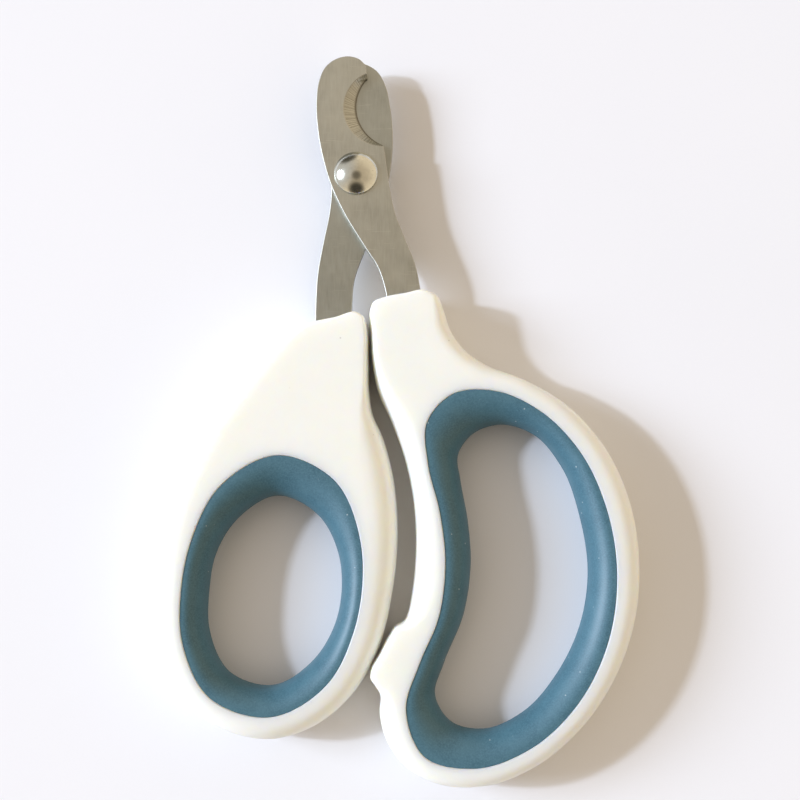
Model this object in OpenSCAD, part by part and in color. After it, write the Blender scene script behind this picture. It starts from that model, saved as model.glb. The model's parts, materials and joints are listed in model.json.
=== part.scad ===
// Pet nail trimmer: two notched blades on a rivet, each in a finger handle with a soft grip.
//
// The trimmer lies flat on its handles. +Z is up, +Y points to the blade tips and +X to
// the large handle. The origin is at the bottom centre of the whole part. It is drawn
// closed, with the stop of the large handle against the small handle.
// Outlines are given from the centre of the rivet, in millimetres, counter-clockwise.

/* [Handles] */
// Thickness of both handles
handle_t = 10; // [9:0.5:12]
// Length of blade that is moulded into each handle
tang_len = 17; // [12:1:18]
// Diameter of the two anchor holes in each tang
anchor_d = 3; // [2:0.5:3.5]

/* [Grips] */
// Share of a grip's width that its flat band takes, beside the handle
grip_band = 0.12; // [0.06:0.02:0.4]
// How far the face of a grip sits below the face of its handle
grip_drop = 0.15; // [0.1:0.05:0.4]
// Depth of the rib that locks a grip into its handle
rib_depth = 1; // [0.6:0.1:1.4]
// Width of that rib
rib_w = 3; // [2:0.5:4]

/* [Blades] */
// Thickness of each blade
blade_t = 1.5; // [1.2:0.1:1.8]
// Gap between the two blades
blade_gap = 0.05; // [0.02:0.01:0.1]
// Radius of the cutting edge of each notch
edge_r = 7.8; // [7.4:0.1:8]
// Radius of each notch on the outer face of its blade
notch_r = 7; // [6.6:0.1:7.2]

/* [Pivot] */
// Diameter of the rivet's shank
shank_d = 4; // [3:0.1:4.4]
// Radial clearance of the shank in the front blade
shank_play = 0.05; // [0.02:0.01:0.1]
// Diameter of the domed head
head_d = 7.7; // [7:0.1:8.4]
// Height of the domed head
head_h = 2; // [1.4:0.1:2.4]
// Diameter of the washer behind the rear blade
washer_d = 7; // [6.6:0.1:8]
// Thickness of the washer
washer_t = 0.4; // [0.3:0.1:0.6]
// Diameter of the peened tail
tail_d = 6; // [5.2:0.1:6.4]
// Height of the peened tail
tail_h = 1.2; // [0.8:0.1:1.6]

/* [Hidden] */
$fn = 96;

// Centre of the rivet in the part's frame
pivot = [-7.6, 41.8];
mid_z = handle_t / 2;
// The front blade is above the middle plane and the rear blade is below it
front_z = mid_z + blade_gap / 2;
rear_z = mid_z - blade_gap / 2 - blade_t;

// Steps of the curve between two points of an outline
handle_steps = 5;
loop_steps = 7;
blade_steps = 6;
// Rings from the edge of a handle up to its face
edge_rings = 5;
// Rings round the inside of a grip, from its upper band to its lower one
grip_rings = 8;
// Powers of the rounded edges of a handle and of the inside of a grip: 1 is an ellipse,
// less is squarer and more is flatter
edge_power = 0.8;
slope_power = 1.1;
// Radius of the round end of each tang
tang_r = 2.6;

// Outline of the small handle, with the width of the rounding inside the edge and the
// place along its grip's seat, in seat points, that its flat face reaches across to
small_edge = [
    [0.6, -25.4, 0.8, 2.2], [-3.5, -26.2, 0.9, 2.3], [-9, -27.4, 1.4, 2.7],
    [-12.6, -28.8, 3, 3], [-16, -31.6, 3.8, 3.3], [-20.5, -37, 4.4, 3.7],
    [-25.2, -43.6, 4.4, 4], [-29.2, -52, 4.2, 4.5], [-32.2, -60.4, 4.1, 5],
    [-33.4, -69, 4, 5.7], [-33.3, -77, 3.7, 6.5], [-31.8, -85, 3.7, 7.3],
    [-27.8, -91.8, 3.6, 8], [-21.8, -96, 3.6, 8.6], [-14, -97.7, 3.6, 9.1],
    [-6.6, -95.6, 3.7, 9.8], [-0.4, -90.6, 3.8, 10.4], [3.8, -83.8, 4.1, 11.1],
    [6.5, -73.5, 4.4, 12], [7.4, -63.5, 4.8, 13], [6.6, -53.8, 5, 13.8],
    [4.8, -47, 4.2, 14], [3, -42.8, 2.2, 14.1], [2.5, -39.5, 1.2, 14.1],
    [2.4, -33, 0.9, 14.1], [2.2, -28, 0.8, 14.2], [1.7, -26.3, 0.7, 14.2]];

// Outline of the large handle, with its stop nub, and the same two values
large_edge = [
    [12.2, -21.4, 0.9, 5.7], [8.6, -22, 0.8, 5.7], [4.8, -22.8, 0.8, 5.7],
    [3.1, -23.6, 0.8, 5.7], [2.5, -25.2, 0.8, 5.7], [2.7, -29, 0.9, 5.75], [3, -34, 1.2, 5.8],
    [3.9, -38.6, 2, 6], [6.5, -44.6, 3.3, 6.3], [8.9, -51.6, 3.2, 7.1],
    [10.3, -59.5, 3.4, 8], [10.5, -67, 3.9, 8.9], [9.8, -74, 3.8, 9.6],
    [9.2, -76.8, 2.8, 10], [8.4, -78.3, 1.4, 10.4], [7, -79.1, 0.8, 10.6],
    [6.1, -80.4, 0.7, 10.7], [4.4, -83.5, 0.7, 10.9], [2.9, -86.3, 0.6, 11.1],
    [2.8, -87.5, 0.6, 11.3], [3.6, -88.8, 0.8, 11.4], [4.5, -90.6, 2, 11.7],
    [4.4, -93.4, 3.4, 12.1], [5.4, -97.6, 3.9, 12.5], [9, -102.4, 3.5, 13.1],
    [15, -105.1, 3.1, 13.6], [22, -105.2, 2.9, 14.2], [30, -102.3, 2.9, 15.1],
    [38, -96, 3, 16], [44, -87.6, 3.2, 16.7], [47.6, -78, 3.6, 17.4],
    [48.6, -68.4, 3.9, 18.2], [47.2, -58, 4, 19.1], [43.2, -48.8, 3.9, 20],
    [36.8, -41.5, 3.6, 20.8], [29, -36.8, 3.4, 21.5], [22.8, -34.4, 3.4, 22.2],
    [19, -31.7, 3.1, 22.8], [16.6, -28.2, 2.8, 23.7], [15.5, -24.9, 2, 23.7],
    [14.4, -22.4, 1.3, 23.7]];

// Where the small grip meets its handle, and its finger opening beside it
small_seat = [
    [1.5, -72.6], [1.1, -64.4], [-3.2, -54.7], [-12.8, -50.4], [-22.7, -55.8], [-27.1, -64.4],
    [-28.7, -72.6], [-28.3, -81.6], [-23.7, -90.4], [-13.5, -93.6], [-4, -88.1], [0, -80.2]];
small_opening = [
    [-2.1, -72.8], [-2.8, -66.6], [-6.3, -60.3], [-13.4, -57], [-20.2, -61], [-23.8, -67],
    [-24.8, -73], [-24.6, -80], [-21.2, -86.7], [-13.6, -89], [-6.6, -84.6], [-3.2, -78.8]];

// Where the large grip meets its handle, and its finger opening beside it
large_seat = [
    [44.1, -71], [42.6, -59.4], [38.2, -49.6], [31.6, -42.8], [24, -39.4], [16.5, -40.1],
    [12.4, -44.8], [12.5, -51.6], [14.5, -60], [15.4, -68.4], [14.2, -77.6], [11, -85.1],
    [8.8, -92.3], [11.8, -99.9], [20, -101.8], [29.2, -98.7], [37.4, -91.2], [42.4, -81.4]];
large_opening = [
    [40, -70.5], [38.8, -60.6], [35.8, -52], [31, -46.4], [25.2, -44.7], [20.2, -46.5],
    [17.8, -50.2], [18.2, -54.2], [19.4, -61], [19.9, -68.4], [18.6, -77.2], [15.2, -85.4],
    [13.7, -90.6], [16.4, -95], [21.8, -96.2], [28.6, -93.4], [34.6, -86.8], [38.6, -78.6]];

// Outlines of the blades, counter-clockwise, without the notches. Each has the straight
// side that its notch is cut into, a curve down one side of its lobe and strap, the round
// end of its tang, and a curve up the other side.
front_side = [[5, 4.6], [1.9, 18.2]];
front_left = [
    [1.6, 20.2], [0.4, 21.3], [-1.6, 21.8], [-3.9, 21.2], [-5.6, 19.8], [-6.8, 17],
    [-7.2, 13.2], [-7, 9], [-6.2, 4], [-4.6, -1.7], [-2.1, -7.2], [1.7, -13.5],
    [3.9, -17], [5.2, -21], [5.7, -24]];
front_right = [
    [11.9, -24], [11.4, -21], [10.6, -16.9], [8.6, -11.7], [6.9, -7], [6, -2.6], [5.4, 1.6]];
rear_side = [[-4, 18], [-5.6, 4.6]];
rear_left = [
    [-5.1, 1.5], [-4.5, -2.4], [-4.8, -6.8], [-5.8, -12], [-6.8, -18], [-7.1, -24], [-7.1, -28]];
rear_right = [
    [-0.9, -28], [-0.7, -24.6], [-0.3, -19], [1.6, -13.4], [4.2, -7], [5.8, -0.6],
    [6.4, 4], [6.5, 8.6], [6, 13.2], [5.2, 16.9], [3.6, 19.7], [1.4, 21], [-0.8, 21.2],
    [-2.6, 20.8], [-3.9, 19.8]];
// Middle of each strap where its handle starts
front_entry = [8.6, -21.8];
rear_entry = [-3.9, -26.2];

// Centre of the front notch: of its cutting edge and of its outline on the outer face
front_edge_at = [7.8, 12.9];
front_notch_at = [4.7, 12.1];
// The rear notch is the front one mirrored in a line at this angle through the rivet
mirror_deg = 93.5;

// ---- Curves ----

// Slope of a curve at a point b between its neighbours a and c, per unit of length
function slope(a, b, c) =
    let (u = norm(b - a), v = norm(c - b))
    ((b - a) * v / u + (c - b) * u / v) / (u + v);

// A point at t, from 0 to 1, on the curve from b to c, with a before them and d after
function between(a, b, c, d, t) =
    let (len = norm(c - b), m = slope(a, b, c) * len, n = slope(b, c, d) * len)
    b * (2 * t^3 - 3 * t^2 + 1) + m * (t^3 - 2 * t^2 + t)
    + c * (3 * t^2 - 2 * t^3) + n * (t^3 - t^2);

// A smooth closed curve through points, with a number of steps between each two
function loop(points, steps) =
    let (n = len(points))
    [for (i = [0:n - 1], k = [0:steps - 1])
        between(points[(i + n - 1) % n], points[i], points[(i + 1) % n],
                points[(i + 2) % n], k / steps)];

// A smooth open curve through points
function path(points, steps) =
    let (n = len(points), first = 2 * points[0] - points[1],
         last = 2 * points[n - 1] - points[n - 2], p = concat([first], points, [last]))
    concat([for (i = [1:n - 1], k = [0:steps - 1])
        between(p[i - 1], p[i], p[i + 1], p[i + 2], k / steps)], [points[n - 1]]);

// Unit vector into a counter-clockwise loop at its point i
function inward(ring, i) =
    let (n = len(ring), d = ring[(i + 1) % n] - ring[(i + n - 1) % n])
    [-d.y, d.x] / norm([d.x, d.y]);

// A loop moved inwards by a distance
function inset(ring, distance) =
    [for (i = [0:len(ring) - 1]) [ring[i].x, ring[i].y] + distance * inward(ring, i)];

// ---- Shapes that repeat ----

// The two triangles of each four-sided patch between two rings of n points, which start
// at the indices a and b
function patches(a, b, n) =
    [for (i = [0:n - 1], half = [0, 1])
        let (j = (i + 1) % n)
        half == 0 ? [a + i, b + i, a + j] : [a + j, b + i, b + j]];

// Index of the point of a hole that each point of an outline is joined to
function joins(edge, m) =
    let (n = len(edge))
    [for (i = [0:n - 1], k = [0:handle_steps - 1])
        let (s = edge[i][3], e = i < n - 1 ? edge[i + 1][3] : edge[0][3] + m / loop_steps)
        round((s + (e - s) * k / handle_steps) * loop_steps)];

// The triangles of a flat face between an outline and a hole of m points, which start at
// the indices a and b
function flat_face(joined, m, a, b) =
    let (n = len(joined))
    [for (i = [0:n - 1])
        let (j = (i + 1) % n, u = joined[i], v = j > 0 ? joined[j] : joined[0] + m)
        each concat([[a + j, a + i, b + u % m]],
                    [for (c = [u:1:v - 1]) [a + j, b + c % m, b + (c + 1) % m]])];

// A handle: a plate with the outline of a loop, whose rounded edges are as wide as the
// loop's z values, and with a hole and a groove for its grip
module handle(edge, seat) {
    outline = loop([for (p = edge) [p.x, p.y, p.z]], handle_steps);
    hole = loop(seat, loop_steps);
    groove = inset(hole, -rib_depth);
    n = len(outline);
    m = len(hole);
    angles = [for (k = [-edge_rings:edge_rings]) 90 * k / edge_rings];
    joined = joins(edge, m);
    walls = [[hole, mid_z], [hole, rib_w / 2], [groove, rib_w / 2],
             [groove, -rib_w / 2], [hole, -rib_w / 2], [hole, -mid_z]];
    points = concat(
        [for (a = angles, i = [0:n - 1])
            let (p = [outline[i].x, outline[i].y]
                     + outline[i].z * (1 - pow(cos(a), edge_power)) * inward(outline, i))
            [p.x, p.y, mid_z * (1 + sign(a) * pow(abs(sin(a)), edge_power))]],
        [for (w = walls, p = w[0]) [p.x, p.y, mid_z + w[1]]]);
    top = 2 * edge_rings * n;
    wall = top + n;
    under = [for (t = flat_face(joined, m, 0, wall + 5 * m)) [t[1], t[0], t[2]]];
    sides = [for (k = [0:2 * edge_rings - 1]) each patches(k * n, (k + 1) * n, n)];
    steps = [for (k = [0:4]) each patches(wall + k * m, wall + (k + 1) * m, m)];
    translate(pivot)
        polyhedron(points, concat(sides, flat_face(joined, m, top, wall), steps, under));
}

// A grip: a soft ring from its seat in the handle to its opening, with a locking rib
module grip(seat, opening) {
    outer = loop(seat, loop_steps);
    inner = loop(opening, loop_steps);
    n = len(outer);
    half = mid_z - grip_drop;
    rib = inset(outer, -rib_depth);
    band = outer + grip_band * (inner - outer);
    turns = [for (k = [0:grip_rings]) 90 - 180 * k / grip_rings];
    rings = concat(
        [[outer, half]],
        [for (a = turns) [
            [for (i = [0:n - 1]) band[i] + (inner[i] - band[i]) * pow(cos(a), slope_power)],
            half * sign(sin(a)) * pow(abs(sin(a)), slope_power)]],
        [[outer, -half], [outer, -rib_w / 2], [rib, -rib_w / 2], [rib, rib_w / 2],
         [outer, rib_w / 2]]);
    last = len(rings) - 1;
    points = [for (r = rings, p = r[0]) [p.x, p.y, mid_z + r[1]]];
    faces = [for (k = [0:last]) each patches(k * n, k < last ? (k + 1) * n : 0, n)];
    translate(pivot) polyhedron(points, faces);
}

// A notch with its ground bevel: a slanted cone from the outer face to the cutting edge
module notch(edge_z, face_z) {
    // The cone runs past both faces by a tenth of the blade's thickness
    over = 0.1;
    hull() for (t = [-over, 1 + over]) {
        centre = front_edge_at + (front_notch_at - front_edge_at) * t;
        translate([centre.x, centre.y, edge_z + (face_z - edge_z) * t])
            cylinder(r = edge_r + (notch_r - edge_r) * t, h = 0.001);
    }
}

// Middle of the round end of a tang whose strap enters the handle at a point
function tang_tip(entry) = entry - [0, tang_len - tang_r];

// A blade from its side, its two curved edges and the middle of its strap at the handle
module blade_plate(side, left, right, entry) {
    tip = tang_tip(entry);
    end = [for (a = [180:15:360]) tip + tang_r * [cos(a), sin(a)]];
    linear_extrude(blade_t) difference() {
        polygon(concat(side, path(left, blade_steps), end, path(right, blade_steps)));
        for (d = [0.35, 0.8]) translate(entry + d * (tip - entry)) circle(d = anchor_d);
    }
}

// ---- Sub-parts ----

module front_plate() {
    translate([0, 0, front_z]) blade_plate(front_side, front_left, front_right, front_entry);
}

module rear_plate() {
    translate([0, 0, rear_z]) blade_plate(rear_side, rear_left, rear_right, rear_entry);
}

module front_blade() {
    color("#a5a08c") translate(pivot) difference() {
        front_plate();
        notch(front_z, front_z + blade_t);
        translate([0, 0, front_z - 1]) cylinder(d = shank_d + 2 * shank_play, h = blade_t + 2);
    }
}

module rear_blade() {
    color("#948f7c") translate(pivot) difference() {
        rear_plate();
        rotate(mirror_deg) mirror([0, 1, 0]) rotate(-mirror_deg)
            notch(rear_z + blade_t, rear_z);
        translate([0, 0, rear_z - 1]) cylinder(d = shank_d, h = blade_t + 2);
    }
}

module pivot_rivet() {
    head_z = front_z + blade_t + blade_gap;
    tail_z = rear_z - washer_t;
    rim = 0.3;
    // Radius of a dome of a height over a circle, and the points of its outline
    function dome_r(r, h) = (r * r + h * h) / (2 * h);
    function dome(r, h) =
        let (big = dome_r(r, h), half = asin(r / big))
        [for (k = [0:10]) let (a = half * (1 - k / 10)) [big * sin(a), h - big * (1 - cos(a))]];
    color("#c8c8c4") translate(pivot) {
        translate([0, 0, tail_z]) cylinder(d = shank_d, h = head_z - tail_z + rim);
        translate([0, 0, head_z]) cylinder(d = head_d, h = rim);
        translate([0, 0, head_z + rim]) rotate_extrude()
            polygon(concat([[0, 0]], dome(head_d / 2, head_h - rim)));
        translate([0, 0, tail_z]) mirror([0, 0, 1]) rotate_extrude()
            polygon(concat([[0, 0]], dome(tail_d / 2, tail_h)));
    }
}

module rivet_washer() {
    color("#b8b6ae") translate([pivot.x, pivot.y, rear_z - washer_t]) difference() {
        cylinder(d = washer_d, h = washer_t);
        translate([0, 0, -1]) cylinder(d = shank_d, h = washer_t + 2);
    }
}

module large_handle() {
    color("#fbfbf4") difference() {
        handle(large_edge, large_seat);
        translate(pivot) front_plate();
    }
}

module small_handle() {
    color("#f8f8f1") difference() {
        handle(small_edge, small_seat);
        translate(pivot) rear_plate();
    }
}

module large_grip() {
    color("#4b6e82") grip(large_seat, large_opening);
}

module small_grip() {
    color("#4b6e82") grip(small_seat, small_opening);
}

front_blade();
rear_blade();
pivot_rivet();
rivet_washer();
large_handle();
small_handle();
large_grip();
small_grip();
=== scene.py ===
"""Looks of the pet nail trimmer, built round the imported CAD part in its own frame, in metres."""
import json
import math

import bmesh
import bpy
import numpy as np
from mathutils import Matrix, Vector


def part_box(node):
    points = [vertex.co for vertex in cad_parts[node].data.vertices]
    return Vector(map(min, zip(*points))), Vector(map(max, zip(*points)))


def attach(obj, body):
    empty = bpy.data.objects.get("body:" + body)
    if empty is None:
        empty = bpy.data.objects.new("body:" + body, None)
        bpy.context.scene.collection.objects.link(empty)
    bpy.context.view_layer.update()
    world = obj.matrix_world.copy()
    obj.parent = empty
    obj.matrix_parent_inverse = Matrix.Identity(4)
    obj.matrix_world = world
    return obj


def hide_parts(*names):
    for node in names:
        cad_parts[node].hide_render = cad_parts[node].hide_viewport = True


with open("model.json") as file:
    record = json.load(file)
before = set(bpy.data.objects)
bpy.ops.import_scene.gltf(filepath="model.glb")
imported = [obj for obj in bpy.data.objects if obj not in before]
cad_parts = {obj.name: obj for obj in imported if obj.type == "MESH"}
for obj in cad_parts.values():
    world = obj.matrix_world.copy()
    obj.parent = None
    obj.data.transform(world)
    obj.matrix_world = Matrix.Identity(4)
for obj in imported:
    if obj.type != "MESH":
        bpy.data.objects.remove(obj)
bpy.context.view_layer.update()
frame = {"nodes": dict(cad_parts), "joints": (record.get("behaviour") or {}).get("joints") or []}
nodes = frame["nodes"]
hinge = next(j for j in frame["joints"] if j["name"] == "pivot")
axis_x, axis_y = hinge["pos_m"][:2]
mid_z = (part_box("large_handle")[0].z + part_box("large_handle")[1].z) / 2

MM = 0.001
# Steps of a rebuilt outline between two points of the CAD outline
OUTLINE_STEPS = 3
# Powers of the rounded edges of a handle and of the inside of a grip: 1 is an ellipse, less is
# squarer and more is flatter
EDGE_POWER = 0.8
SLOPE_POWER = 1.1
# Height of the parting line round a handle, and radius of the handle's edge round its grip
PARTING_LINE = 0.035 * MM
HANDLE_SOFT = 0.16 * MM
# Radius of a grip's rim, its gap to the handle, the dip of its flat band and the height of the
# moulding ridge in its opening
RIM_SOFT = 0.14 * MM
RIM_GAP = 0.02 * MM
BAND_DIP = 0.02 * MM
RIDGE = 0.05 * MM


# ---- Outlines, read from the CAD meshes ----

def signed_area(ring):
    x, y = ring[:, 0], ring[:, 1]
    return 0.5 * np.sum(x * np.roll(y, -1) - y * np.roll(x, -1))


def rings_at(node, z):
    """The closed rings of a CAD node's edges at a height, counter-clockwise, with the largest first.
    Edges between two flat faces at that height don't count."""
    bm = bmesh.new()
    bm.from_mesh(nodes[node].data)
    bmesh.ops.remove_doubles(bm, verts=bm.verts, dist=1e-6)
    level = {v for v in bm.verts if abs(v.co.z - z) < 5e-6}
    links = {}
    for e in bm.edges:
        a, b = e.verts
        if a in level and b in level and not all(level.issuperset(f.verts) for f in e.link_faces):
            links.setdefault(a, []).append(b)
            links.setdefault(b, []).append(a)
    rings = []
    while links:
        first = next(iter(links))
        ring, last = [first], None
        while True:
            ahead = [v for v in links[ring[-1]] if v is not last]
            last = ring[-1]
            if not ahead or ahead[0] is first:
                break
            ring.append(ahead[0])
        for v in ring:
            links.pop(v, None)
        points = np.array([v.co[:2] for v in ring])
        if signed_area(points) < 0:
            points = points[::-1]
        rings.append(points)
    bm.free()
    return sorted(rings, key=lambda r: -abs(signed_area(r)))


def matched(ring, like):
    """A ring with its points counted from the one that fits the first point of another."""
    if len(ring) != len(like):
        raise ValueError(f"rings of {len(ring)} and {len(like)} points don't match")
    best = min(range(len(ring)), key=lambda k: np.sum((np.roll(ring, -k, 0) - like) ** 2))
    return np.roll(ring, -best, 0)


def refined(ring):
    """A smooth closed curve through a ring's points, with OUTLINE_STEPS steps between each two."""
    before, after = np.roll(ring, 1, 0), np.roll(ring, -1, 0)
    u = np.linalg.norm(ring - before, axis=1)[:, None]
    v = np.linalg.norm(after - ring, axis=1)[:, None]
    slope = ((ring - before) * v / u + (after - ring) * u / v) / (u + v)
    t = (np.arange(OUTLINE_STEPS) / OUTLINE_STEPS)[None, :, None]
    b, c = ring[:, None], after[:, None]
    m, n = (slope * v)[:, None], (np.roll(slope, -1, 0) * v)[:, None]
    curve = (b * (2 * t**3 - 3 * t**2 + 1) + m * (t**3 - 2 * t**2 + t)
             + c * (3 * t**2 - 2 * t**3) + n * (t**3 - t**2))
    return curve.reshape(-1, 2)


def inward(ring):
    """Unit vectors into a counter-clockwise ring."""
    d = np.roll(ring, -1, 0) - np.roll(ring, 1, 0)
    n = np.stack([-d[:, 1], d[:, 0]], 1)
    return n / np.linalg.norm(n, axis=1)[:, None]


def outer_radius(node):
    """Radius of a round CAD node, from the width of its box."""
    low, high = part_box(node)
    return (high.x - low.x) / 2


def bore_radius(node):
    """Radius of a CAD node's bore round the rivet's axis: the distance of its nearest point."""
    points = np.array([v.co[:2] for v in nodes[node].data.vertices])
    return np.linalg.norm(points - (axis_x, axis_y), axis=1).min()


def rib_size(grip, seat):
    """Depth and half width of the rib round a grip. The rib's upper edge is at the height nearest
    the middle that many of the CAD node's points share."""
    z = np.array([v.co.z for v in nodes[grip].data.vertices])
    values, counts = np.unique(np.round(z, 6), return_counts=True)
    common = values[counts > counts.max() * 0.6]
    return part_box(grip)[1].x - seat[:, 0].max(), common[common > mid_z + 0.1 * MM].min() - mid_z


def notch_circle(node):
    """Centre and radius of the notch in a blade's outer face, from the circle that fits the hollow
    stretch of its outline beyond the rivet."""
    low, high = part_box(node)
    ring = rings_at(node, high.z if node == "front_blade" else low.z)[0]
    before, after = ring - np.roll(ring, 1, 0), np.roll(ring, -1, 0) - ring
    bends = before[:, 0] * after[:, 1] - before[:, 1] * after[:, 0]
    beyond = axis_y + 5.5 * MM
    hollow = ring[(bends < 0) & (ring[:, 1] > beyond)]
    fit = np.linalg.lstsq(np.c_[2 * hollow, np.ones(len(hollow))], (hollow**2).sum(1), rcond=None)[0]
    x, y = float(fit[0]), float(fit[1])
    return (x, y, mid_z), math.sqrt(fit[2] + x**2 + y**2)


# ---- Cross-sections ----

def rounded(angle, power):
    """Reach and rise of a rounded edge at an angle in degrees, as shares of its width and height."""
    a = math.radians(angle)
    return math.cos(a) ** power, math.sin(a) ** power


def corner(radius):
    """(across, down) from a sharp corner to a rounded one, from the face to the wall."""
    return [(radius * (1 - math.sin(a)), radius * (1 - math.cos(a)))
            for a in np.linspace(0, math.pi / 2, 4)]


def arc(centre, radius, start, end, steps):
    """Points of (radius, height) along an arc, with its angles in degrees."""
    return [(centre[0] + radius * math.cos(a), centre[1] + radius * math.sin(a))
            for a in np.radians(np.linspace(start, end, steps + 1))]


def cap(radius, height, share, count):
    """Points of (radius, depth below the top) of a domed cap, from its middle out to a share of
    its angle."""
    ball = (radius**2 + height**2) / (2 * height)
    return [(ball * math.sin(a), ball * (1 - math.cos(a)))
            for a in np.linspace(0, math.asin(radius / ball) * share, count)]


def mirrored(upper):
    """Rings of (points, height above the middle), and below them their mirror images, as
    (points, z) from the top down."""
    return ([(ring, mid_z + height) for ring, height in upper]
            + [(ring, mid_z - height) for ring, height in reversed(upper)])


# ---- Mesh building ----

def add_rings(bm, rings):
    """The new points of each ring of (points, z)."""
    return [[bm.verts.new((x, y, z)) for x, y in ring] for ring, z in rings]


def skin(bm, rings, closed=False):
    """Quads between each two rings of the same number of points."""
    pairs = zip(rings, rings[1:] + rings[:1]) if closed else zip(rings, rings[1:])
    for a, b in pairs:
        for i in range(len(a)):
            j = (i + 1) % len(a)
            bm.faces.new((a[i], a[j], b[j], b[i]))


def fill(bm, rings, up):
    """Triangles that fill the flat face between an outer ring and a hole's ring."""
    edges = []
    for ring in rings:
        for i, v in enumerate(ring):
            edges.append(bm.edges.get((v, ring[(i + 1) % len(ring)])))
    bmesh.ops.triangle_fill(bm, use_beauty=True, edges=edges, normal=(0, 0, up))


def finished(bm, name, angle=38):
    """An object of a closed mesh, with its normals outwards and smooth up to an angle."""
    bmesh.ops.recalc_face_normals(bm, faces=bm.faces)
    mesh = bpy.data.meshes.new(name)
    bm.to_mesh(mesh)
    bm.free()
    mesh.shade_smooth()
    mesh.set_sharp_from_angle(angle=math.radians(angle))
    obj = bpy.data.objects.new(name, mesh)
    bpy.context.scene.collection.objects.link(obj)
    return obj


def apply_modifiers(obj, angle=38):
    bpy.context.view_layer.update()
    depsgraph = bpy.context.evaluated_depsgraph_get()
    mesh = bpy.data.meshes.new_from_object(obj.evaluated_get(depsgraph))
    obj.modifiers.clear()
    obj.data = mesh
    mesh.shade_smooth()
    mesh.set_sharp_from_angle(angle=math.radians(angle))


def shade_level_flat(obj, limit):
    """Flat shading where a face is level, so that its normal's z is above a limit."""
    for p in obj.data.polygons:
        if abs(p.normal.z) > limit:
            p.use_smooth = False


def lathe(name, profile):
    """A solid turned about the rivet's axis from a profile of (radius, height), in metres. Without
    a point on the axis it is a ring."""
    turns = 2 * math.pi * np.arange(96) / 96
    circle = np.stack([np.cos(turns), np.sin(turns)], 1)
    bm = bmesh.new()
    rings = add_rings(bm, [((axis_x, axis_y) + r * circle, z) for r, z in profile])
    skin(bm, rings, closed=profile[0][0] > 0)
    # A ring on the axis becomes one point
    bmesh.ops.remove_doubles(bm, verts=bm.verts, dist=1e-7)
    return finished(bm, name, 30)


# ---- Pieces ----

def build_handle(name, node, blade):
    """A moulded handle: the CAD outline and face joined by rounded edges, a faint parting line, a
    softened edge round the grip, the groove of the grip's rib and the pocket of the blade's tang."""
    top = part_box(node)[1].z
    half = top - mid_z
    edge = rings_at(node, mid_z)[0]
    face, seat = rings_at(node, top)[:2]
    edge, face, seat = refined(edge), refined(matched(face, edge)), refined(seat)
    out = -inward(seat)
    depth, rib = rib_size(node.replace("handle", "grip"), seat)

    # The last two angles are the edges of the parting line
    angles = [90 - 7.5 * k for k in range(12)] + [1.2, 0.4]
    outside = []
    for angle in angles:
        reach, rise = rounded(angle, EDGE_POWER)
        ring = face + (edge - face) * reach
        if angle == angles[-1]:
            ring = ring - PARTING_LINE * inward(edge)
        outside.append((ring, half * rise))
    inside = [(seat + out * across, half - down) for across, down in corner(HANDLE_SOFT)]
    inside += [(seat, rib), (seat + out * depth, rib)]

    bm = bmesh.new()
    sides = add_rings(bm, mirrored(outside)[::-1])
    skin(bm, sides)
    walls = add_rings(bm, mirrored(inside))
    skin(bm, walls)
    fill(bm, [sides[-1], walls[0]], 1)
    fill(bm, [sides[0], walls[-1]], -1)
    obj = finished(bm, name)
    pocket = obj.modifiers.new("tang_pocket", "BOOLEAN")
    pocket.operation = "DIFFERENCE"
    pocket.solver = "EXACT"
    pocket.object = nodes[blade]
    apply_modifiers(obj)
    shade_level_flat(obj, 0.9999)
    return obj


def build_grip(name, node):
    """A soft grip: a locking rib, a rounded rim, a flat band and a rounded slope to the opening,
    with a ridge round the middle."""
    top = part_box(node)[1].z
    half = top - mid_z
    seat, band = rings_at(node, top)[:2]
    opening = matched(rings_at(node, mid_z)[-1], seat)
    seat, band, opening = refined(seat), refined(matched(band, seat)), refined(opening)
    into = inward(seat)
    depth, rib = rib_size(node, seat)

    upper = [(seat - into * depth, rib), (seat, rib)]
    for across, down in reversed(corner(RIM_SOFT)):
        upper.append((seat + into * (RIM_GAP + across), half - down))
    for share in (0.45, 0.8):
        upper.append((seat + (band - seat) * share, half - BAND_DIP * share))
    # Closer together where the slope starts and where it ends, in the ridge
    angles = [90, 86, 82, 77] + list(range(72, 11, -6)) + [7, 3, 0.8]
    for angle in angles:
        reach, rise = rounded(angle, SLOPE_POWER)
        ring = band + (opening - band) * reach
        if angle == angles[-1]:
            ring = ring + RIDGE * inward(opening)
        upper.append((ring, half * rise - BAND_DIP))

    bm = bmesh.new()
    skin(bm, add_rings(bm, mirrored(upper)), closed=True)
    return finished(bm, name)


def build_blade(name, node):
    """A stamped and ground blade: the CAD shape with its flat faces whole and its edges broken."""
    bm = bmesh.new()
    bm.from_mesh(nodes[node].data)
    bmesh.ops.remove_doubles(bm, verts=bm.verts, dist=1e-6)
    bmesh.ops.dissolve_limit(bm, angle_limit=math.radians(0.5), verts=bm.verts, edges=bm.edges,
                             delimit=set())
    obj = finished(bm, name, 30)
    bevel = obj.modifiers.new("broken_edges", "BEVEL")
    bevel.width = 0.11 * MM
    bevel.use_clamp_overlap = False
    bevel.segments = 3
    bevel.limit_method = "ANGLE"
    bevel.angle_limit = math.radians(28)
    apply_modifiers(obj, 40)
    # The bevel may not push a corner past the blade's own faces, towards the other blade
    low, high = (v.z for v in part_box(node))
    for v in obj.data.vertices:
        v.co.z = min(max(v.co.z, low), high)
    obj.data.update()
    shade_level_flat(obj, 0.9995)
    return obj


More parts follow.
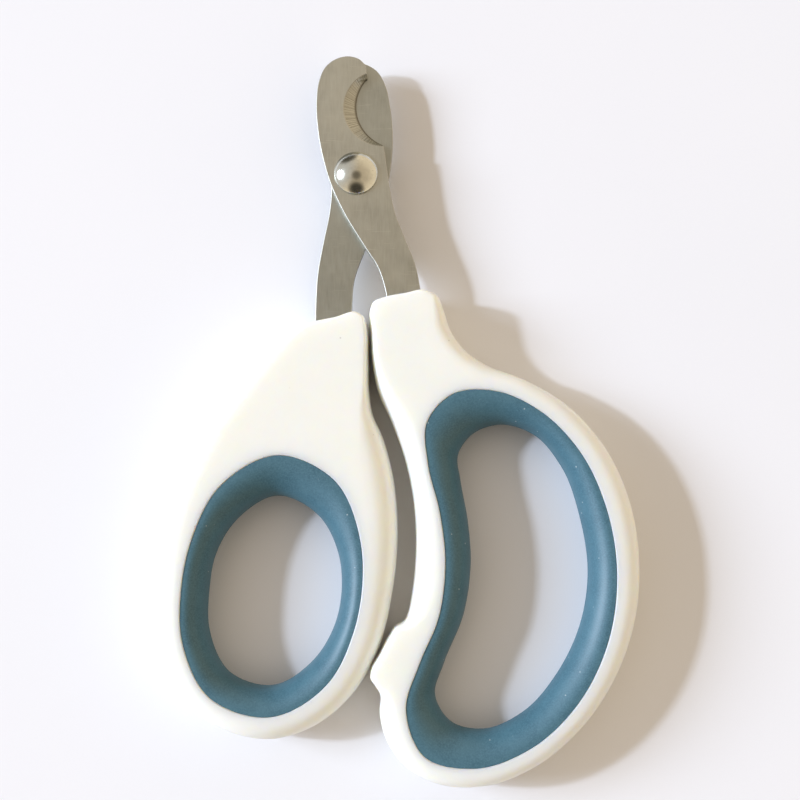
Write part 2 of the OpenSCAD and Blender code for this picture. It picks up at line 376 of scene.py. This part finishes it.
def build_rivet():
    """The rivet: a polished domed head with a thin rim, its shank, and a peened tail."""
    low, high = (v.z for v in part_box("pivot_rivet"))
    head_r = outer_radius("pivot_rivet")
    shank_r = bore_radius("rivet_washer")
    tail_r = 3.0 * MM
    rim_r = 0.1 * MM
    shoulder_r = 0.12 * MM
    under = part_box("front_blade")[1].z + 0.05 * MM
    rim = under + 0.3 * MM
    tail_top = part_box("rivet_washer")[0].z
    profile = [(r, low + d) for r, d in cap(tail_r, tail_top - low, 0.96, 10)]
    profile += [(tail_r, tail_top - 0.16 * MM), (tail_r - 0.05 * MM, tail_top - 0.02 * MM),
                (shank_r, tail_top - 0.02 * MM), (shank_r, under)]
    profile += arc((head_r - rim_r, under + rim_r), rim_r, -90, 0, 4)
    profile += arc((head_r - shoulder_r, rim - shoulder_r / 2), shoulder_r, 0, 50, 3)
    profile += [(r, high - d) for r, d in reversed(cap(head_r, high - rim, 0.965, 16))]
    return lathe("rivet_head_and_tail", profile)


def build_washer():
    low, high = (v.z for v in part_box("rivet_washer"))
    outer, inner = outer_radius("rivet_washer"), bore_radius("rivet_washer")
    soft = 0.08 * MM
    profile = arc((outer - soft, low + soft), soft, -90, 0, 3)
    profile += arc((outer - soft, high - soft), soft, 0, 90, 3)
    profile += [(inner, high), (inner, low)]
    return lathe("washer", profile)


# ---- Node trees ----

class NodeTree:
    """A node tree with short ways to add nodes."""

    def __init__(self, tree):
        self.tree = tree

    def put(self, node, **inputs):
        """Sets or links a node's inputs, each named or numbered as i0, i1 and so on."""
        for key, value in inputs.items():
            numbered = key[0] == "i" and key[1:].isdigit()
            socket = node.inputs[int(key[1:]) if numbered else key.replace("_", " ")]
            if isinstance(value, bpy.types.NodeSocket):
                self.tree.links.new(value, socket)
            else:
                socket.default_value = value

    def add(self, kind, settings=None, **inputs):
        node = self.tree.nodes.new(kind)
        for key, value in (settings or {}).items():
            setattr(node, key, value)
        self.put(node, **inputs)
        return node

    def math(self, operation, a, b=0.0):
        return self.add("ShaderNodeMath", {"operation": operation}, i0=a, i1=b).outputs[0]

    def times(self, a, b):
        return self.math("MULTIPLY", a, b)

    def mix(self, share, a, b):
        return self.add("ShaderNodeMix", {"data_type": "RGBA"}, i0=share, i6=a, i7=b).outputs[2]

    def spread(self, value, low, high, to_low=0.0, to_high=1.0, smooth=False):
        """A value moved from one range to another and kept inside it."""
        kind = {"interpolation_type": "SMOOTHSTEP"} if smooth else {"clamp": True}
        return self.add("ShaderNodeMapRange", kind, Value=value, From_Min=low, From_Max=high,
                        To_Min=to_low, To_Max=to_high).outputs["Result"]


class Shader(NodeTree):
    """A surface material with patterns in the part's own frame."""

    def __init__(self, name):
        self.material = bpy.data.materials.new(name)
        self.material.use_nodes = True
        super().__init__(self.material.node_tree)
        self.bsdf = self.tree.nodes["Principled BSDF"]
        self.place = self.add("ShaderNodeTexCoord").outputs["Object"]

    def base(self, **inputs):
        self.put(self.bsdf, **inputs)

    def split(self, vector):
        """The x, y and z of a vector."""
        return self.add("ShaderNodeSeparateXYZ", Vector=vector).outputs

    def stretched(self, scale, turn=0.0):
        return self.add("ShaderNodeMapping", Vector=self.place, Scale=scale,
                        Rotation=(0, 0, math.radians(turn))).outputs[0]

    def noise(self, scale, detail=2.0, rough=0.5, at=None):
        return self.add("ShaderNodeTexNoise", Vector=at or self.place, Scale=scale, Detail=detail,
                        Roughness=rough).outputs["Fac"]

    def specks(self, scale, size, share):
        """A mask of small round specks on a share of the cells of a pattern."""
        cells = self.add("ShaderNodeTexVoronoi", Vector=self.place, Scale=scale)
        near = self.spread(cells.outputs["Distance"], size, size * 0.5)
        chance = self.add("ShaderNodeSeparateColor", Color=cells.outputs["Color"]).outputs[0]
        return self.times(near, self.spread(chance, share, share * 0.9))

    def bump(self, height, strength, distance, under=None):
        node = self.add("ShaderNodeBump", Height=height, Strength=strength, Distance=distance)
        if under is not None:
            self.put(node, Normal=under)
        return node.outputs[0]


def shade(tint, share=1.0):
    """A colour made lighter or darker, as a socket takes it."""
    return tuple(min(c * share, 1) for c in tint) + (1,)


# ---- Materials ----

def plastic(name):
    """Glossy white plastic with a cream cast, a fine moulded skin and a few scuffs."""
    s = Shader(name)
    clouds = s.noise(130, 3, 0.55)
    grain = s.noise(5200, 2, 0.5)
    tone = s.mix(s.spread(clouds, 0.35, 0.65), (0.91, 0.915, 0.855, 1), (0.92, 0.925, 0.868, 1))
    tone = s.mix(s.times(s.specks(700, 0.13, 0.03), 0.45), tone, (0.42, 0.40, 0.36, 1))
    scuffs = s.spread(s.noise(60, 4, 0.6, s.stretched((9, 1, 9), 24)), 0.62, 0.72)
    s.base(Base_Color=tone, Specular_IOR_Level=0.45,
           Roughness=s.math("ADD", s.spread(grain, 0.3, 0.7, 0.30, 0.36), s.times(scuffs, 0.1)),
           Normal=s.bump(clouds, 0.12, 0.08 * MM, s.bump(grain, 0.05, 0.02 * MM)))
    s.base(Subsurface_Weight=0.9, Subsurface_Scale=1.0,
           Subsurface_Radius=(3.0 * MM, 2.6 * MM, 1.9 * MM))
    return s.material


def rubber(name):
    """Matte teal rubber with a fine mottled skin and a little dust."""
    s = Shader(name)
    clouds = s.noise(260, 4, 0.6)
    grain = s.noise(3600, 3, 0.65)
    tone = s.mix(s.spread(clouds, 0.3, 0.7), (0.040, 0.114, 0.160, 1), (0.062, 0.156, 0.208, 1))
    tone = s.mix(s.spread(grain, 0.38, 0.72), tone, (0.080, 0.184, 0.240, 1))
    tone = s.mix(s.specks(800, 0.13, 0.13), tone, (0.34, 0.42, 0.45, 1))
    s.base(Base_Color=tone, Specular_IOR_Level=0.5,
           Roughness=s.spread(grain, 0.3, 0.7, 0.42, 0.54),
           Normal=s.bump(grain, 0.30, 0.05 * MM, s.bump(clouds, 0.1, 0.06 * MM)))
    return s.material


def steel(name, tint, notch, lines):
    """Satin steel: faint lines along the blade at an angle in degrees, fine scratches, bright
    broken edges, rough stamped sides, grinding lines across the bevel of its notch, and a painted
    shadow along its cutting edge."""
    s = Shader(name)
    centre, radius = notch

    # Masks of the stamped sides, the ground bevel and the broken edges
    up = s.math("ABSOLUTE", s.split(s.add("ShaderNodeNewGeometry").outputs["True Normal"])[2])
    side = s.spread(up, 0.25, 0.15)
    tilted = s.times(s.spread(up, 0.995, 0.98), s.math("SUBTRACT", 1.0, side))
    x, y, z = s.split(s.add("ShaderNodeVectorMath", {"operation": "SUBTRACT"}, i0=s.place,
                            i1=centre).outputs[0])
    level = s.add("ShaderNodeCombineXYZ", X=x, Y=y).outputs[0]
    reach = s.add("ShaderNodeVectorMath", {"operation": "LENGTH"}, i0=level).outputs["Value"]
    ground = s.times(tilted, s.spread(reach, radius * 1.02, radius * 0.985))
    broken = s.times(tilted, s.math("SUBTRACT", 1.0, ground))

    # Patterns: lines and scratches over the whole blade, and grinding lines round the notch
    brushed = s.noise(900, 3, 0.7, s.stretched((6, 0.35, 6), lines))
    patches = s.noise(160, 3, 0.6)
    scratches = s.noise(420, 2, 0.5, s.stretched((0.5, 14, 6), 31))
    scratches = s.times(s.spread(scratches, 0.66, 0.72), 0.8)
    grinding = s.add("ShaderNodeTexNoise", {"noise_dimensions": "1D"}, W=s.math("ARCTAN2", y, x),
                     Scale=42, Detail=4, Roughness=0.7).outputs["Fac"]
    # Painted shadow along the cutting edge: dark, with a ragged edge, close to the middle plane
    off_middle = s.math("ADD", s.math("ABSOLUTE", z), s.spread(grinding, 0.3, 0.7, -0.1 * MM, 0.1 * MM))
    edge_shadow = s.times(ground, s.spread(off_middle, 0.34 * MM, 0.16 * MM))

    tone = s.mix(s.spread(patches, 0.3, 0.7), shade(tint, 0.80), shade(tint))
    tone = s.mix(s.times(s.spread(brushed, 0.35, 0.7), 0.45), tone, shade(tint, 1.12))
    tone = s.mix(scratches, tone, shade(tint, 1.12))
    grooves = s.times(ground, s.spread(grinding, 0.42, 0.60, 0.2, 1.0))
    tone = s.mix(grooves, tone, (0.235, 0.225, 0.19, 1))
    # Painted shadow along the cutting edge
    tone = s.mix(s.times(edge_shadow, 0.8), tone, (0.10, 0.09, 0.07, 1))
    tone = s.mix(s.times(side, 0.5), tone, shade(tint, 0.62))
    tone = s.mix(broken, tone, (0.50, 0.49, 0.45, 1))
    rough = s.spread(brushed, 0.3, 0.7, 0.30, 0.40)
    rough = s.math("ADD", rough, s.times(s.math("ADD", side, broken), 0.16))
    relief = s.bump(brushed, 0.06, 0.01 * MM)
    relief = s.bump(scratches, 0.12, 0.008 * MM, relief)
    relief = s.bump(s.times(grinding, ground), 0.35, 0.03 * MM, relief)
    s.base(Base_Color=tone, Metallic=1.0, Roughness=rough, Normal=relief)
    return s.material


def polished(name, tint, rough, dents):
    """Bright metal with light handling marks."""
    s = Shader(name)
    wear = s.noise(900, 4, 0.65)
    soft = s.noise(420, 2, 0.5)
    tone = s.mix(s.spread(wear, 0.35, 0.75), shade(tint), shade(tint, 0.86))
    tone = s.mix(s.specks(1500, 0.16, 0.06), tone, (0.20, 0.18, 0.15, 1))
    s.base(Base_Color=tone, Metallic=1.0,
           Roughness=s.spread(wear, 0.35, 0.75, rough, rough + 0.10),
           Normal=s.bump(soft, dents, 0.06 * MM, s.bump(wear, 0.05, 0.01 * MM)))
    return s.material


def paper(name):
    """A smooth white sheet."""
    s = Shader(name)
    fibres = s.noise(2600, 4, 0.65)
    clouds = s.noise(14, 3, 0.5)
    tone = s.mix(s.spread(clouds, 0.3, 0.7), (0.865, 0.87, 0.915, 1), (0.88, 0.882, 0.925, 1))
    tone = s.mix(s.times(s.spread(fibres, 0.35, 0.7), 0.10), tone, (0.80, 0.80, 0.81, 1))
    s.base(Base_Color=tone, Roughness=0.85, Specular_IOR_Level=0.2,
           Normal=s.bump(fibres, 0.08, 0.03 * MM))
    return s.material


# ---- The object ----

front_steel = steel("satin_steel_front", (0.60, 0.605, 0.545), notch_circle("front_blade"), -22)
# The rear blade's steel is a darker copy of the front blade's: painted shade
shaded_rear_steel = steel("satin_steel_rear", (0.51, 0.525, 0.48), notch_circle("rear_blade"), 14)
rivet_steel = polished("rivet_chrome", (0.66, 0.665, 0.605), rough=0.12, dents=0.16)
washer_steel = polished("washer_steel", (0.66, 0.65, 0.62), rough=0.28, dents=0.05)

# Each piece with its body, the CAD node it stands in for, its slot and its material
pieces = [
    (build_handle("handle_large", "large_handle", "front_blade"),
     "large_arm", "large_handle", "handle_plastic", plastic("white_plastic_large")),
    (build_handle("handle_small", "small_handle", "rear_blade"),
     "small_arm", "small_handle", "handle_plastic", plastic("white_plastic_small")),
    (build_grip("grip_large", "large_grip"),
     "large_arm", "large_grip", "grip_rubber", rubber("teal_rubber_large")),
    (build_grip("grip_small", "small_grip"),
     "small_arm", "small_grip", "grip_rubber", rubber("teal_rubber_small")),
    (build_blade("blade_front", "front_blade"), "large_arm", "front_blade", "blade_steel", front_steel),
    (build_blade("blade_rear", "rear_blade"), "small_arm", "rear_blade", "blade_steel", shaded_rear_steel),
    (build_rivet(), "small_arm", "pivot_rivet", "rivet_steel", rivet_steel),
    (build_washer(), "small_arm", "rivet_washer", "washer_steel", washer_steel),
]
for obj, body, node, slot, look in pieces:
    obj.data.materials.clear()
    obj.data.materials.append(look)
    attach(obj, body)
    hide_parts(node)


# ---- Floor, light and camera ----

bm = bmesh.new()
bmesh.ops.create_grid(bm, x_segments=2, y_segments=2, size=3)
floor = finished(bm, "paper_floor")
floor.location.z = -0.02 * MM
floor.data.materials.append(paper("white_paper"))

scene = bpy.context.scene
scene.view_settings.view_transform = "Standard"

world = bpy.data.worlds.new("room")
scene.world = world
world.use_nodes = True
room = NodeTree(world.node_tree)


def towards(direction, near, far):
    """1 within an angle of a direction, falling to 0 at a wider angle, both in degrees."""
    place = room.add("ShaderNodeTexCoord").outputs["Generated"]
    dot = room.add("ShaderNodeVectorMath", {"operation": "DOT_PRODUCT"}, i0=place,
                   i1=Vector(direction).normalized()).outputs["Value"]
    return room.spread(dot, math.cos(math.radians(far)), math.cos(math.radians(near)), smooth=True)


# Warm light from all round, with a dimmer ceiling, a cooler wall beside the windows, and three
# dark places for the metal to reflect: in front, behind and straight above
light = (1.02, 0.84, 0.61, 1)
for direction, near, far, colour in (
        ((0, -0.1, 1), 10, 80, (0.62, 0.50, 0.355, 1)),
        ((-0.9, 0.35, 0.3), 20, 80, (0.70, 0.66, 0.62, 1)),
        ((0, -0.8, 0.5), 14, 38, (0.07, 0.06, 0.045, 1)),
        ((-0.35, 0.85, 0.12), 10, 30, (0.10, 0.09, 0.07, 1)),
        ((0.02, -0.06, 1), 5, 24, (0.20, 0.165, 0.12, 1))):
    light = room.mix(towards(direction, near, far), light, colour)
room.put(room.tree.nodes["Background"], Color=light, Strength=1.0)

# The middle of the picture lies on the handles' middle plane
aim = Vector((0.2185 * MM, 1.3986 * MM, mid_z))
tilt = math.radians(7)
away = 194.0 * MM
camera = bpy.data.objects.new("camera", bpy.data.cameras.new("camera"))
camera.location = aim + Vector((0, -math.sin(tilt), math.cos(tilt))) * away
camera.rotation_euler = (tilt, 0, 0)
camera.data.lens = 50
camera.data.sensor_width = 36
camera.data.clip_start = 0.005
scene.collection.objects.link(camera)
scene.camera = camera


def add_window(name, turn, rise, width, height, power):
    """A cool window on the left, at angles in degrees, with its size in metres."""
    distance = 5
    a, b = math.radians(turn), math.radians(rise)
    direction = Vector((-math.cos(a) * math.cos(b), math.sin(a) * math.cos(b), math.sin(b)))
    window = bpy.data.objects.new(name, bpy.data.lights.new(name, "AREA"))
    window.data.shape = "RECTANGLE"
    window.data.size = width
    window.data.size_y = height
    window.data.energy = power
    window.data.color = (0.74, 0.845, 1.0)
    window.location = direction * distance
    window.rotation_euler = direction.to_track_quat("Z", "Y").to_euler()
    scene.collection.objects.link(window)


# A small bright window and a broad, lower one beside it
add_window("window", turn=7, rise=32.5, width=0.28, height=0.28, power=128)
add_window("wide_window", turn=8, rise=24, width=2.0, height=1.55, power=222)
